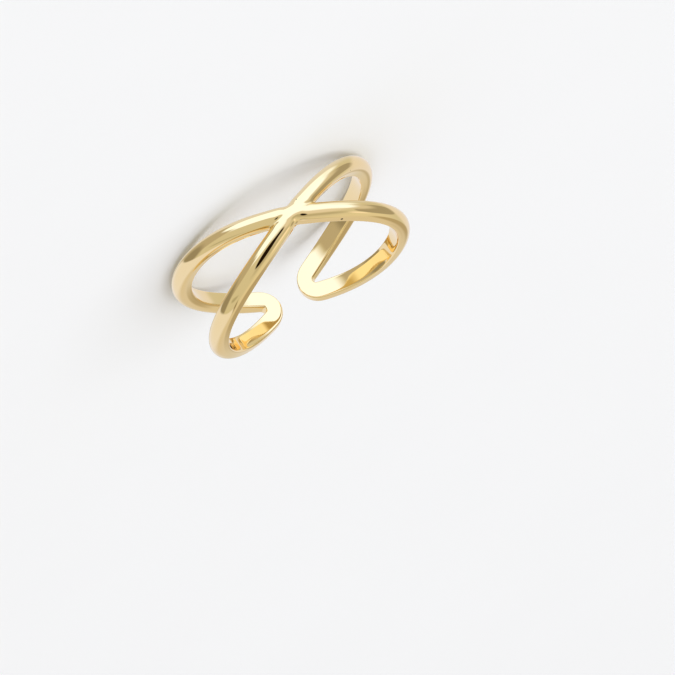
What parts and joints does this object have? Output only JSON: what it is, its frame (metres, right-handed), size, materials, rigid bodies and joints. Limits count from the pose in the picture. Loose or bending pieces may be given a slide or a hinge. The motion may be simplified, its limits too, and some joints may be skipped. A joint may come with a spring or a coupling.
{
  "type": "adjustable ring",
  "caption": "Adjustable crossover finger ring: two D-section bands cross at the front and meet in round tips at an open back.",
  "frame": {"origin": "middle of the finger hole, half way up the ring's height", "axes": "+Z along the finger hole's axis, up when the ring lies on its side; the crossing faces -Y and the opening faces +Y"},
  "size_m": [0.02, 0.0198, 0.0074],
  "materials": {
    "polished_gold": "mirror-polished gold plate"
  },
  "bodies": {
    "root": {"band": "polished_gold"}
  },
  "joints": []
}
